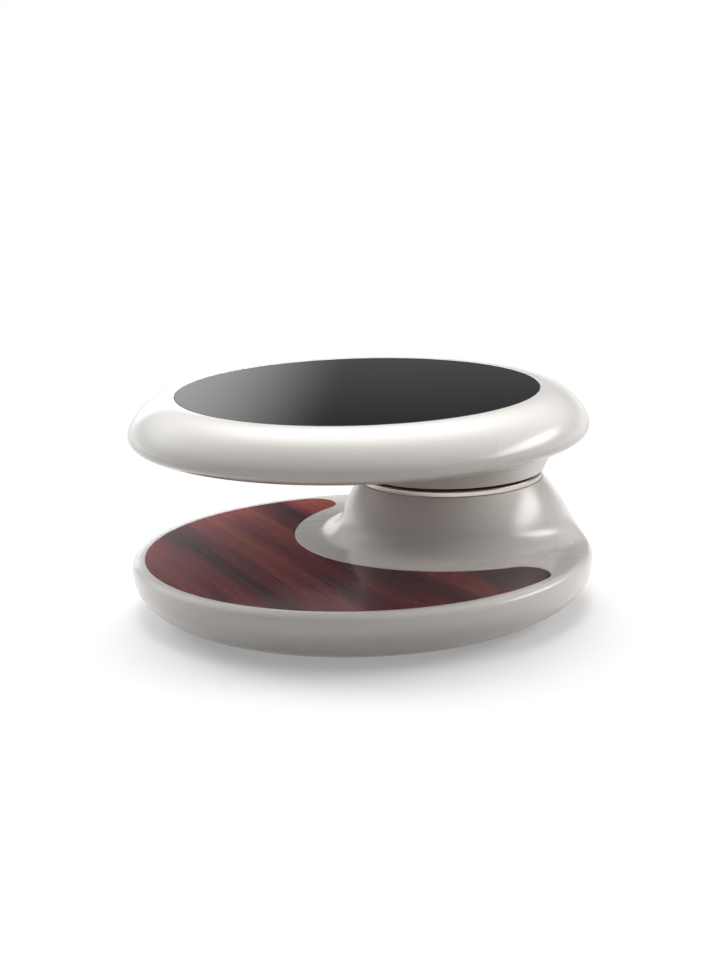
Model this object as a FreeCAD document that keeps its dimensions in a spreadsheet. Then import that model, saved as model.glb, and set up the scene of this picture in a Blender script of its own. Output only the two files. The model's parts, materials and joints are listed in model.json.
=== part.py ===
import FreeCAD, Part
import Sketcher
import os
import re

# Swivel coffee table: a round top on a neck that turns about a column at the edge of a round base.
# Origin on the floor under the centre of the base, +Z up, +X from the table's centre to the swivel axis.

doc = FreeCAD.newDocument("swivel_coffee_table")

# Driving dimensions in millimetres, counts and degrees where the note says so
SIZES = [
    ("base_radius", 400, "base, radius at its belly line"),
    ("shelf_height", 99, "floor to shelf"),
    ("belly_drop", 24, "shelf down to the belly line"),
    ("rim_width", 22.5, "white rim outside the shelf panel"),
    ("rim_round", 14, "rounding of the base's upper edge"),
    ("wall", 5, "thickness of the moulded shells"),
    ("foot_height", 5, "glide under the base"),
    ("foot_radius", 20, "glide"),
    ("foot_count", 6, "count of glides"),
    ("foot_inset", 20, "glide centres inside the base's ledge"),
    ("cover_thickness", 6, "bottom cover"),
    ("cover_gap", 0.5, "cover and ballast plate to the base's seat"),
    ("ledge_width", 10, "ledge of the base shell on the ballast plate"),
    ("lip_width", 6, "bottom lip round the cover"),
    ("plate_thickness", 8, "ballast plate"),
    ("shell_screw_count", 8, "count of screws under the base shell"),
    ("axis_inset", 203, "swivel axis in from the base's edge"),
    ("column_rise", 95.5, "shelf to column top"),
    ("column_radius", 165, "column at its top edge"),
    ("column_flare", 49, "column foot wider than its top"),
    ("column_lean", 13, "column foot further out than its top"),
    ("column_bulge", 9, "swell of the column's outer side"),
    ("column_setback", 0.3, "column's outer side inside the base's edge"),
    ("column_fillet", 45, "hollow between column and shelf"),
    ("column_room", 15, "moulding round the hollow of column and neck"),
    ("shoulder_overlap", 2, "outer sides past the column's and neck's edges"),
    ("collar_width", 25, "inward flange of column and neck"),
    ("collar_thickness", 6, "inward flange of column and neck"),
    ("collar_screw_count", 8, "count of screws in each flange"),
    ("bite_radius", 283, "inner edge of the shelf panel, about the swivel axis"),
    ("horn_radius", 46, "rounded ends of the shelf panel"),
    ("shelf_panel_thickness", 6, "shelf panel"),
    ("shelf_panel_gap", 0.4, "shelf panel to its recess"),
    ("ring_setback", 1.5, "polished ring inside the column's edge"),
    ("ring_width", 11.5, "polished ring"),
    ("ring_height", 11, "polished ring"),
    ("ring_chamfer", 1.8, "polished ring, upper edge"),
    ("groove_height", 1.8, "shadow groove under the polished ring"),
    ("groove_depth", 3.5, "shadow groove under the polished ring"),
    ("swivel_gap", 5.8, "polished ring to neck"),
    ("shield_gap", 3, "black gap ring to neck"),
    ("shield_room", 1, "black gap ring to polished ring"),
    ("race_room", 4, "bearing races to the flanges"),
    ("race_width", 30, "bearing race"),
    ("race_gap", 4, "between the two races"),
    ("race_screw_count", 8, "count of screws in each race"),
    ("ball_radius", 6, "bearing ball"),
    ("ball_play", 0.3, "bearing ball to races and cage"),
    ("ball_count", 20, "count of bearing balls"),
    ("cage_thickness", 2, "ball cage"),
    ("cage_width", 22, "ball cage"),
    ("head_thickness", 8, "steel plates at column top and neck bottom"),
    ("head_overlap", 13, "steel plates past the flanges' openings"),
    ("post_radius", 42, "steel posts"),
    ("post_wall", 4, "steel posts"),
    ("flange_width", 20, "post flanges"),
    ("flange_thickness", 8, "post flanges"),
    ("flange_room", 23, "post foot to the base's ledge"),
    ("arm_width", 30, "arms under the top"),
    ("arm_height", 20, "arms under the top"),
    ("arm_spread", 55, "degrees between arms"),
    ("arm_margin", 40, "arm ends inside the support panel"),
    ("arm_screw_inset", 20, "screws in from the arms' ends"),
    ("pin_radius", 12, "king pin"),
    ("pin_play", 0.06, "king pin in its bush"),
    ("pin_collar", 8, "collar of the king pin"),
    ("pin_collar_thickness", 6, "collar of the king pin"),
    ("pin_end", 4, "king pin past its nut"),
    ("bush_wall", 4, "bush"),
    ("bush_flange", 8, "bush"),
    ("bush_flange_thickness", 3, "bush"),
    ("washer_play", 0.1, "thrust washer to bush"),
    ("washer_thickness", 2, "thrust washer"),
    ("nut_radius", 21, "nut across its corners"),
    ("nut_height", 12, "nut"),
    ("bolt_radius", 4, "bolt"),
    ("bolt_head", 7.5, "bolt head across its corners"),
    ("bolt_head_height", 5.5, "bolt head"),
    ("bolt_count", 4, "count of bolts in each flange"),
    ("bolt_end", 1.5, "bolt tip short of the far face"),
    ("screw_radius", 2, "screw"),
    ("screw_head", 3.5, "screw head"),
    ("screw_head_height", 2.5, "screw head"),
    ("screw_grip", 6, "screw in the piece that it holds to"),
    ("fastener_play", 0.15, "bolts and screws in their holes"),
    ("fit_gap", 0.05, "pieces seated in one another"),
    ("top_inset", 5, "top's edge inside the base's edge"),
    ("top_thickness", 85, "top"),
    ("top_belly_drop", 60, "table height down to the top's belly line"),
    ("top_rim_width", 82, "white rim round the glass"),
    ("underside_inset", 85, "flat underside in from the top's edge"),
    ("neck_overhang", 2, "neck past the column's edge"),
    ("neck_rise", 83.7, "neck bottom to underside"),
    ("neck_flare", 41, "neck wider at the underside"),
    ("neck_fillet", 30, "hollow between neck and underside"),
    ("joint_flange", 20, "inward flange between the top's two shells"),
    ("joint_screw_count", 12, "count of screws between the top's two shells"),
    ("glass_thickness", 6, "glass"),
    ("glass_gap", 1, "glass to the rim"),
    ("glass_drop", 0.4, "glass below the rim"),
    ("glass_ledge", 22, "ledge under the glass"),
    ("tape_thickness", 2, "bedding tape under the glass"),
    ("tape_width", 9, "bedding tape under the glass"),
    ("panel_thickness", 18, "support panel under the glass"),
    ("panel_overlap", 12, "support panel past the ledge's edge"),
    ("bezel_screw_count", 12, "count of screws through the ledge"),
    ("pad_radius", 10, "pad under the glass"),
    ("pad_circle", 150, "ring of pads under the glass"),
    ("pad_count", 6, "count of pads under the glass"),
]

# Heights above the floor and radii that follow from the driving dimensions
PLACES = [
    ("axis_offset", "base_radius - axis_inset"),
    ("top_radius", "base_radius - top_inset"),
    ("cover_top", "foot_height + cover_thickness"),
    ("plate_top", "cover_top + plate_thickness"),
    ("ledge_level", "plate_top + wall"),
    ("flange_radius", "post_radius + flange_width"),
    ("bolt_circle", "post_radius + flange_width / 2"),
    ("bore_radius", "post_radius - post_wall"),
    ("ledge_radius", "axis_offset + flange_radius + flange_room"),
    ("seat_radius", "ledge_radius + ledge_width"),
    ("cover_radius", "seat_radius - cover_gap"),
    ("stance_radius", "seat_radius + lip_width"),
    ("foot_circle", "ledge_radius - foot_inset"),
    ("undercut", "base_radius - stance_radius"),
    ("belly_height", "shelf_height - belly_drop"),
    ("shelf_floor", "shelf_height - shelf_panel_thickness"),
    ("ceiling", "shelf_floor - wall"),
    ("shelf_panel_radius", "base_radius - rim_width"),
    ("column_top", "shelf_height + column_rise"),
    ("outer_foot", "shelf_height - rim_round"),
    ("outer_rise", "column_top - outer_foot"),
    ("shoulder_radius", "column_radius + shoulder_overlap"),
    ("collar_radius", "column_radius - collar_width"),
    ("collar_circle", "collar_radius + head_overlap / 2"),
    ("head_radius", "collar_radius + head_overlap"),
    ("head_top", "column_top - collar_thickness"),
    ("head_bottom", "head_top - head_thickness"),
    ("ring_radius", "column_radius - ring_setback"),
    ("ring_bore", "ring_radius - ring_width"),
    ("ring_top", "column_top + ring_height"),
    ("neck_radius", "column_radius + neck_overhang"),
    ("neck_bottom", "ring_top + swivel_gap"),
    ("hub_bottom", "neck_bottom + collar_thickness"),
    ("hub_top", "hub_bottom + head_thickness"),
    ("bush_top", "hub_top + bush_flange_thickness"),
    ("bush_radius", "pin_radius + pin_play + bush_wall"),
    ("washer_bottom", "bush_top + washer_play"),
    ("nut_bottom", "washer_bottom + washer_thickness"),
    ("pin_top", "nut_bottom + nut_height + pin_end"),
    ("race_radius", "collar_radius - race_room"),
    ("race_bore", "race_radius - race_width"),
    ("ball_circle", "race_radius - race_width / 2"),
    ("ball_level", "(head_top + hub_bottom) / 2"),
    ("groove_radius", "ball_radius + ball_play"),
    ("underside", "neck_bottom + neck_rise"),
    ("table_height", "underside + top_thickness"),
    ("joint_level", "table_height - top_belly_drop"),
    ("joint_circle", "top_radius - joint_flange + screw_head * 2"),
    ("glass_opening", "top_radius - top_rim_width"),
    ("glass_top", "table_height - glass_drop"),
    ("glass_bottom", "glass_top - glass_thickness"),
    ("ledge_top", "glass_bottom - tape_thickness"),
    ("panel_top", "ledge_top - wall"),
    ("panel_bottom", "panel_top - panel_thickness"),
    ("ledge_bore", "glass_opening - glass_ledge"),
    ("panel_radius", "ledge_bore + panel_overlap"),
    ("bezel_circle", "ledge_bore + panel_overlap / 2"),
    ("tape_radius", "glass_opening - glass_gap - fit_gap"),
    ("arm_root", "post_radius - post_wall / 2"),
    ("arm_bottom", "panel_bottom - arm_height"),
    ("middle_reach", "axis_offset + panel_radius - arm_margin"),
    ("side_chord", "sqrt(panel_radius ^ 2 - (axis_offset * sin(arm_spread)) ^ 2)"),
    ("side_reach", "axis_offset * cos(arm_spread) + side_chord - arm_margin"),
]

SHEET_OF = {alias: "sizes." for alias, _, _ in SIZES}
SHEET_OF.update({alias: "places." for alias, _ in PLACES})

AXIS = "axis_offset"
FULL_TURN = 360
HALF_TURN = 180
LEVEL_TOLERANCE = 0.01

# Where the lofted sides have their level sections, as shares of the way from the swivel
SIDE_SHARES = (0, 0.15, 0.5, 1)
COLUMN_SHARES = (0, 0.17, 0.59, 1)
COLUMN_CURVE = 0.65


def bound(expression):
    return re.sub("[a-z_]+", lambda word: SHEET_OF.get(word.group(), "") + word.group(), expression)


sizes = doc.addObject("Spreadsheet::Sheet", "sizes")
for row, (alias, number, note) in enumerate(SIZES, 1):
    sizes.set(f"A{row}", note)
    sizes.set(f"B{row}", str(number))
    sizes.setAlias(f"B{row}", alias)
doc.recompute()

places = doc.addObject("Spreadsheet::Sheet", "places")
for row, (alias, formula) in enumerate(PLACES, 1):
    places.set(f"B{row}", "=" + bound(formula).replace("places.", ""))
    places.setAlias(f"B{row}", alias)
doc.recompute()

parts = []


def value(expression):
    return float(places.evalExpression(bound(expression)))


def bind(item, **expressions):
    for name, expression in expressions.items():
        item.setExpression(name, bound(expression))
    return item


def put(item, x="0", y="0", z="0"):
    for name, expression in zip("xyz", (x, y, z)):
        item.setExpression("Placement.Base." + name, bound(expression))
    return item


def keep(item):
    parts.append(item)
    return item


# Round primitives, all upright
def cylinder(name, radius, height, x="0", y="0", z="0"):
    return put(bind(doc.addObject("Part::Cylinder", name), Radius=radius, Height=height), x, y, z)


def cone(name, low_radius, high_radius, height, x="0", z="0"):
    item = doc.addObject("Part::Cone", name)
    return put(bind(item, Radius1=low_radius, Radius2=high_radius, Height=height), x, "0", z)


def joined(name, items):
    fuse = doc.addObject("Part::MultiFuse", name)
    fuse.Shapes = items
    fuse.Refine = True
    return fuse


def grouped(name, items):
    group = doc.addObject("Part::Compound", name)
    group.Links = items
    return group


def cut(name, base, *tools):
    for step, tool in enumerate(tools, 1):
        last = step == len(tools)
        removal = doc.addObject("Part::Cut", name if last else f"{name}_step")
        removal.Base = base
        removal.Tool = tool
        removal.Refine = True
        base = removal
    return base


def rounded(name, base, radius, chosen):
    doc.recompute()
    fillet = doc.addObject("Part::Fillet", name)
    fillet.Base = base
    size = value(radius)
    fillet.Edges = [(i, size, size) for i, edge in enumerate(base.Shape.Edges, 1) if chosen(edge)]
    return fillet


# A closed half section as corners, with a pair of handles before a corner that a curve leads to
def half_section(body, outline):
    sketch = body.newObject("Sketcher::SketchObject", body.Name + "_section")
    plane = [feature for feature in body.Origin.OriginFeatures if feature.Role == "XZ_Plane"]
    sketch.AttachmentSupport = [(plane[0], "")]
    sketch.MapMode = "FlatFace"

    def point(pair):
        return FreeCAD.Vector(value(pair[0]), value(pair[1]), 0)

    def bind_point(geometry, position, pair):
        if pair[0] == "0":
            sketch.addConstraint(Sketcher.Constraint("PointOnObject", geometry, position, -2))
        else:
            bind_distance("DistanceX", geometry, position, pair[0])
        bind_distance("DistanceY", geometry, position, pair[1])

    def bind_distance(kind, geometry, position, expression):
        rule = Sketcher.Constraint(kind, -1, 1, geometry, position, value(expression))
        sketch.setExpression(f"Constraints[{sketch.addConstraint(rule)}]", bound(expression))

    corners = [step[-1] if isinstance(step, list) else step for step in outline]
    steps = outline[1:] + outline[:1]
    edges = []
    for i, step in enumerate(steps):
        start, end = corners[i], corners[(i + 1) % len(corners)]
        if isinstance(step, list):
            edge = Part.BSplineCurve()
            poles = [point(pair) for pair in (start, step[0], step[1], end)]
            edge.buildFromPolesMultsKnots(poles, [4, 4], [0, 1], False, 3)
        else:
            edge = Part.LineSegment(point(start), point(end))
        edges.append(sketch.addGeometry(edge))
    for i, edge in enumerate(edges):
        following = edges[(i + 1) % len(edges)]
        sketch.addConstraint(Sketcher.Constraint("Coincident", edge, 2, following, 1))
        bind_point(edge, 1, corners[i])
    for edge, step in zip(edges, steps):
        if isinstance(step, list):
            first_pole = sketch.GeometryCount
            sketch.exposeInternalGeometry(edge)
            bind_point(first_pole + 1, 3, step[0])
            bind_point(first_pole + 2, 3, step[1])
    return sketch


def turned(name, outline, x="0"):
    body = doc.addObject("PartDesign::Body", name)
    turn = body.newObject("PartDesign::Revolution", name + "_turn")
    turn.Profile = half_section(body, outline)
    turn.ReferenceAxis = (turn.Profile[0], ["V_Axis"])
    turn.Angle = FULL_TURN
    return put(body, x)


def ring(name, inner, outer, low, high, x="0"):
    return turned(name, [(inner, low), (outer, low), (outer, high), (inner, high)], x)


# Level circles from one height to another, lofted into a solid
def lofted(name, circles):
    sections = []
    for i, (radius, x, z) in enumerate(circles):
        section = bind(doc.addObject("Part::Circle", f"{name}_circle_{i}"), Radius=radius)
        sections.append(put(section, x, "0", z))
    loft = doc.addObject("Part::Loft", name)
    loft.Sections = sections
    loft.Solid = True
    return loft


# Centres on a circle, the first one half a step from +X
def circle_spots(count, radius, x="0"):
    spots = []
    for i in range(int(value(count))):
        angle = f"({i} + 0.5) * {FULL_TURN} / {count}"
        spots.append((f"{x} + ({radius}) * cos({angle})", f"({radius}) * sin({angle})"))
    return spots


# A group of equal cylinders, one at each spot
def upright(name, spots, radius, low, high):
    height = f"{high} - ({low})"
    items = []
    for i, (x, y) in enumerate(spots):
        items.append(cylinder(f"{name}_{i}", radius, height, x, y, low))
    return grouped(name, items)


# Fasteners with the head's seat at one height and the tip at another
def fasteners(name, spots, seat, tip, head_down, kind, six_sided):
    items = []
    head = f"{kind}_head"
    head_height = f"{kind}_head_height"
    head_low = f"{seat} - {head_height}" if head_down else seat
    low, high = (seat, tip) if head_down else (tip, seat)
    for i, (x, y) in enumerate(spots):
        shank = cylinder(f"{name}_shank_{i}", f"{kind}_radius", f"{high} - ({low})", x, y, low)
        if six_sided:
            cap = doc.addObject("Part::Prism", f"{name}_head_{i}")
            put(bind(cap, Circumradius=head, Height=head_height), x, y, head_low)
        else:
            cap = cylinder(f"{name}_head_{i}", head, head_height, x, y, head_low)
        items.append(joined(f"{name}_{i}", [shank, cap]))
    return keep(grouped(name, items))


def bolts(name, spots, seat, tip, head_down):
    return fasteners(name, spots, seat, tip, head_down, "bolt", True)


def screws(name, spots, seat, tip, head_down):
    return fasteners(name, spots, seat, tip, head_down, "screw", False)


BOLT_HOLE = "bolt_radius + fastener_play"
SCREW_HOLE = "screw_radius + fastener_play"
HEAD_HOLE = "screw_head + fastener_play"

foot_spots = circle_spots("foot_count", "foot_circle")
shell_spots = circle_spots("shell_screw_count", "ledge_radius + ledge_width / 2")
bolt_spots = circle_spots("bolt_count", "bolt_circle", AXIS)
race_spots = circle_spots("race_screw_count", "ball_circle", AXIS)
collar_spots = circle_spots("collar_screw_count", "collar_circle", AXIS)
ball_spots = circle_spots("ball_count", "ball_circle", AXIS)
joint_spots = circle_spots("joint_screw_count", "joint_circle")
bezel_spots = circle_spots("bezel_screw_count", "bezel_circle")


# Feet, bottom cover and ballast plate
def make_underframe():
    seat = "screw_head_height + fastener_play"
    tip = "cover_top + screw_grip"
    keep(cut(
        "foot_glides",
        upright("glide_blanks", foot_spots, "foot_radius", "0", "foot_height"),
        upright("glide_holes", foot_spots, SCREW_HOLE, "0", "foot_height"),
        upright("glide_head_holes", foot_spots, HEAD_HOLE, "0", seat),
    ))
    screws("glide_screws", foot_spots, seat, tip, True)

    cover = cylinder("cover_blank", "cover_radius", "cover_thickness", z="foot_height")
    cover_holes = upright("cover_holes", foot_spots, SCREW_HOLE, "foot_height", "cover_top")
    keep(cut("bottom_cover", cover, cover_holes))

    plate = cylinder("plate_blank", "cover_radius", "plate_thickness", z="cover_top")
    head_seat = "cover_top + screw_head_height"
    keep(cut(
        "ballast_plate",
        plate,
        upright("plate_foot_holes", foot_spots, SCREW_HOLE, "cover_top", tip),
        upright("plate_shell_holes", shell_spots, SCREW_HOLE, "cover_top", "plate_top"),
        upright("plate_head_holes", shell_spots, HEAD_HOLE, "cover_top", head_seat),
        upright("plate_bolt_holes", bolt_spots, BOLT_HOLE, "cover_top + bolt_end", "plate_top"),
    ))
    screws("base_shell_screws", shell_spots, head_seat, "ledge_level", True)


# Steel post with a flange at each end
def post_section(low, high):
    return [
        ("bore_radius", low),
        ("flange_radius", low),
        ("flange_radius", f"{low} + flange_thickness"),
        ("post_radius", f"{low} + flange_thickness"),
        ("post_radius", f"{high} - flange_thickness"),
        ("flange_radius", f"{high} - flange_thickness"),
        ("flange_radius", high),
        ("bore_radius", high),
    ]


def make_column_post():
    foot_seat = "plate_top + flange_thickness"
    head_seat = "head_bottom - flange_thickness"
    keep(cut(
        "column_post",
        turned("column_post_blank", post_section("plate_top", "head_bottom"), AXIS),
        upright("post_foot_holes", bolt_spots, BOLT_HOLE, "plate_top", foot_seat),
        upright("post_head_holes", bolt_spots, BOLT_HOLE, head_seat, "head_bottom"),
    ))
    bolts("post_foot_bolts", bolt_spots, foot_seat, "cover_top + bolt_end", False)
    bolts("post_head_bolts", bolt_spots, head_seat, "head_top - bolt_end", True)


# Steel plate that clamps the column's flange and carries the lower race and the king pin
def make_head_plate():
    keep(cut(
        "head_plate",
        ring("head_blank", "pin_radius + fit_gap", "head_radius", "head_bottom", "head_top", AXIS),
        upright("head_bolt_holes", bolt_spots, BOLT_HOLE, "head_bottom", "head_top - bolt_end"),
        upright("head_race_holes", race_spots, SCREW_HOLE, "head_bottom", "head_top"),
        upright("head_collar_holes", collar_spots, SCREW_HOLE, "head_bottom", "head_top"),
    ))
    collar = "pin_radius + pin_collar"
    collar_bottom = "head_bottom - pin_collar_thickness"
    keep(turned("king_pin", [
        ("0", collar_bottom),
        (collar, collar_bottom),
        (collar, "head_bottom"),
        ("pin_radius", "head_bottom"),
        ("pin_radius", "pin_top"),
        ("0", "pin_top"),
    ], AXIS))
    washer_bore = "pin_radius + fastener_play"
    washer_radius = "bush_radius + bush_flange"
    keep(ring("thrust_washer", washer_bore, washer_radius, "washer_bottom", "nut_bottom", AXIS))
    nut = bind(doc.addObject("Part::Prism", "nut_blank"), Circumradius="nut_radius", Height="nut_height")
    hole = cylinder("nut_hole", "pin_radius + fit_gap", "nut_height", AXIS, "0", "nut_bottom")
    keep(cut("king_nut", put(nut, AXIS, "0", "nut_bottom"), hole))


# Two grooved races with a caged ring of balls between them
def make_bearing():
    def race(name, low, high):
        blank = ring(name + "_blank", "race_bore", "race_radius", low, high, AXIS)
        groove = doc.addObject("Part::Torus", name + "_groove")
        bind(groove, Radius1="ball_circle", Radius2="groove_radius")
        return blank, put(groove, AXIS, "0", "ball_level")

    low_tip = "head_top + screw_grip"
    blank, groove = race("lower_race", "head_top", "ball_level - race_gap / 2")
    holes = upright("lower_race_holes", race_spots, SCREW_HOLE, "head_top", low_tip)
    keep(cut("lower_race", blank, groove, holes))
    screws("lower_race_screws", race_spots, "head_bottom", low_tip, True)

    high_tip = "hub_bottom - screw_grip"
    blank, groove = race("upper_race", "ball_level + race_gap / 2", "hub_bottom")
    holes = upright("upper_race_holes", race_spots, SCREW_HOLE, high_tip, "hub_bottom")
    keep(cut("upper_race", blank, groove, holes))
    screws("upper_race_screws", race_spots, "hub_top", high_tip, False)

    low = "ball_level - cage_thickness / 2"
    high = "ball_level + cage_thickness / 2"
    cage_bore = "ball_circle - cage_width / 2"
    cage = ring("cage_blank", cage_bore, "ball_circle + cage_width / 2", low, high, AXIS)
    keep(cut("ball_cage", cage, upright("cage_holes", ball_spots, "groove_radius", low, high)))
    balls = []
    for i, (x, y) in enumerate(ball_spots):
        ball = bind(doc.addObject("Part::Sphere", f"ball_{i}"), Radius="ball_radius")
        balls.append(put(ball, x, y, "ball_level"))
    keep(grouped("bearing_balls", balls))


# Polished ring on the column and the black ring that fills the gap behind it
def make_swivel_rings():
    groove = "ring_radius - groove_depth"
    keep(turned("trim_ring", [
        ("ring_bore", "column_top"),
        (groove, "column_top"),
        (groove, "column_top + groove_height"),
        ("ring_radius", "column_top + groove_height"),
        ("ring_radius", "ring_top - ring_chamfer"),
        ("ring_radius - ring_chamfer", "ring_top"),
        ("ring_bore", "ring_top"),
    ], AXIS))
    inner = "collar_radius + race_room / 2"
    outer = "ring_bore - shield_room"
    keep(ring("gap_shield", inner, outer, "column_top", "neck_bottom - shield_gap", AXIS))


# Crescent that lies round the column, drawn in from its recess by a gap
def crescent(name, gap, low, high):
    height = f"{high} - ({low})"
    whole = cylinder(name + "_disc", f"shelf_panel_radius - {gap}", height, z=low)
    bite = cylinder(name + "_bite", f"bite_radius + {gap}", height, AXIS, "0", low)
    sharp = cut(name + "_sharp", whole, bite)

    def is_horn(edge):
        vertical = edge.BoundBox.XLength < LEVEL_TOLERANCE
        return vertical and len(sharp.Shape.ancestorsOfType(edge, Part.Face)) == 2

    return rounded(name, sharp, f"horn_radius - {gap}", is_horn)


# One side of the outer skin of column or neck: from the edge at the swivel to the rim of base or top
def outer_side(name, edge_radius, rim_radius, level, rise, bulge):
    circles = []
    for share in SIDE_SHARES:
        swell = f"{bulge} * sin({HALF_TURN} * {share})"
        radius = f"({edge_radius}) * (1 - {share}) + ({rim_radius}) * {share} + {swell}"
        circles.append((radius, f"axis_offset * (1 - {share})", f"{level} + ({rise}) * {share}"))
    return lofted(name, circles)


# Picks the level edge round column or neck, and not the far edge of the space
def inner_edge_at(height):
    level = value(height)
    reach = value("base_radius")

    def chosen(edge):
        box = edge.BoundBox
        return max(abs(box.ZMin - level), abs(box.ZMax - level)) < LEVEL_TOLERANCE and box.YMax < reach

    return chosen


# Space above the shelf and round the column, rounded at the column's foot
def shelf_space():
    circles = []
    for share in COLUMN_SHARES:
        radius = f"column_radius + column_flare * {share} ^ {COLUMN_CURVE}"
        centre = f"axis_offset + column_lean * {share}"
        circles.append((radius, centre, f"column_top - column_rise * {share}"))
    above = "collar_thickness"
    core = joined("column_core", [
        lofted("column_wall", circles),
        cylinder("column_stub", "column_radius", above, AXIS, "0", "column_top"),
    ])
    height = f"column_rise + {above}"
    block = cylinder("shelf_block", "base_radius * 2", height, AXIS, "0", "shelf_height")
    space = cut("shelf_space_sharp", block, core)
    return rounded("shelf_space", space, "column_fillet", inner_edge_at("shelf_height"))


# Hollow one-piece base moulding: round tray, column and inward flanges
def make_base_shell():
    bottom_handle = "undercut * 0.62"
    belly_handle = "(belly_height - foot_height) * 0.47"
    rim_handle = "rim_round * 0.55"
    form = turned("base_form", [
        ("0", "foot_height"),
        ("stance_radius", "foot_height"),
        [
            (f"stance_radius + {bottom_handle}", "foot_height"),
            ("base_radius", f"belly_height - {belly_handle}"),
            ("base_radius", "belly_height"),
        ],
        ("base_radius", "shelf_height - rim_round"),
        [
            ("base_radius", f"shelf_height - rim_round + {rim_handle}"),
            (f"base_radius - rim_round + {rim_handle}", "shelf_height"),
            ("base_radius - rim_round", "shelf_height"),
        ],
        ("0", "shelf_height"),
    ])
    rim = "base_radius - column_setback"
    side = outer_side("column_side", "shoulder_radius", rim, "column_top", "-outer_rise", "column_bulge")
    outer = cut("base_outer", joined("base_mass", [form, side]), shelf_space())
    inner_radius = "base_radius - wall"
    floor_edge = "stance_radius + undercut * 0.42"
    floor_handle = "undercut * 0.33"
    inner_handle = "(belly_height - ledge_level) * 0.45"
    hollow = turned("base_hollow", [
        ("0", "ledge_level"),
        (floor_edge, "ledge_level"),
        [
            (f"{floor_edge} + {floor_handle}", "ledge_level"),
            (inner_radius, f"belly_height - {inner_handle}"),
            (inner_radius, "belly_height"),
        ],
        (inner_radius, "ceiling"),
        ("0", "ceiling"),
    ])
    overlap = "wall"
    funnel = cone(
        "column_hollow",
        "axis_inset - column_room",
        "column_radius - collar_thickness",
        f"head_top - ceiling + {overlap}",
        AXIS,
        f"ceiling - {overlap}",
    )
    head_seat = "column_top - screw_head_height"
    keep(cut(
        "base_shell",
        outer,
        joined("base_inside", [hollow, funnel]),
        cylinder("base_mouth", "ledge_radius", "ledge_level - foot_height", z="foot_height"),
        cylinder("base_seat", "seat_radius", "plate_top - foot_height", z="foot_height"),
        cylinder("column_mouth", "collar_radius", "collar_thickness", AXIS, "0", "head_top"),
        crescent("shelf_recess", "0", "shelf_floor", "shelf_height + wall"),
        upright("base_ledge_holes", shell_spots, SCREW_HOLE, "plate_top", "ledge_level"),
        upright("column_collar_holes", collar_spots, SCREW_HOLE, "head_top", "column_top"),
        upright("column_head_holes", collar_spots, HEAD_HOLE, head_seat, "column_top"),
    ))
    screws("column_collar_screws", collar_spots, head_seat, "head_top - screw_grip", False)
    keep(crescent("shelf_panel", "shelf_panel_gap", "shelf_floor", "shelf_height"))


# Steel plate in the neck with the bush for the king pin
def make_hub():
    keep(cut(
        "hub_plate",
        ring("hub_blank", "bush_radius + fit_gap", "head_radius", "hub_bottom", "hub_top", AXIS),
        upright("hub_bolt_holes", bolt_spots, BOLT_HOLE, "hub_bottom + bolt_end", "hub_top"),
        upright("hub_race_holes", race_spots, SCREW_HOLE, "hub_bottom", "hub_top"),
        upright("hub_collar_holes", collar_spots, SCREW_HOLE, "hub_bottom", "hub_top"),
    ))
    keep(turned("hub_bush", [
        ("pin_radius + pin_play", "hub_bottom"),
        ("bush_radius", "hub_bottom"),
        ("bush_radius", "hub_top"),
        ("bush_radius + bush_flange", "hub_top"),
        ("bush_radius + bush_flange", "bush_top"),
        ("pin_radius + pin_play", "bush_top"),
    ], AXIS))
    head_seat = "neck_bottom + screw_head_height"
    screws("neck_collar_screws", collar_spots, head_seat, "hub_bottom + screw_grip", True)


# Post in the neck with three arms under the support panel
def make_top_post():
    arms = []
    spots = []
    for name, turn, reach in (
        ("middle", f"{HALF_TURN}", "middle_reach"),
        ("left", f"{HALF_TURN} - arm_spread", "side_reach"),
        ("right", f"{HALF_TURN} + arm_spread", "side_reach"),
    ):
        arm = doc.addObject("Part::Box", f"{name}_arm")
        bind(arm, Length=f"{reach} - arm_root", Width="arm_width", Height="arm_height")
        bind(arm, **{"Placement.Rotation.Angle": turn})
        along = f"{AXIS} + arm_root * cos({turn}) + arm_width / 2 * sin({turn})"
        across = f"arm_root * sin({turn}) - arm_width / 2 * cos({turn})"
        arms.append(put(arm, along, across, "arm_bottom"))
        for distance in ("flange_radius + arm_screw_inset", f"{reach} - arm_screw_inset"):
            spots.append((f"{AXIS} + ({distance}) * cos({turn})", f"({distance}) * sin({turn})"))
    seat = "hub_top + flange_thickness"
    tip = "panel_bottom + screw_grip"
    post = turned("top_post_blank", post_section("hub_top", "panel_bottom"), AXIS)
    keep(cut(
        "top_post",
        joined("top_post_weldment", [post] + arms),
        upright("top_post_holes", bolt_spots, BOLT_HOLE, "hub_top", seat),
        upright("arm_holes", spots, SCREW_HOLE, "arm_bottom", "panel_bottom"),
    ))
    bolts("top_post_bolts", bolt_spots, seat, "hub_bottom + bolt_end", False)
    screws("support_panel_screws", spots, "arm_bottom", tip, True)

    panel = cylinder("panel_blank", "panel_radius", "panel_thickness", z="panel_bottom")
    keep(cut(
        "support_panel",
        panel,
        upright("panel_arm_holes", spots, SCREW_HOLE, "panel_bottom", tip),
        upright("panel_bezel_holes", bezel_spots, SCREW_HOLE, "panel_top - screw_grip", "panel_top"),
    ))


# Space below the underside and round the neck, rounded where the neck meets it
def underside_space():
    below = "collar_thickness"
    low = f"neck_bottom - {below}"
    core = joined("neck_core", [
        cone("neck_wall", "neck_radius", "neck_radius + neck_flare", "neck_rise", AXIS, "neck_bottom"),
        cylinder("neck_stub", "neck_radius", below, AXIS, "0", low),
    ])
    block = cylinder("neck_block", "base_radius * 2", f"neck_rise + {below}", AXIS, "0", low)
    space = cut("underside_space_sharp", block, core)
    return rounded("underside_space", space, "neck_fillet", inner_edge_at("underside"))


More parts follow.
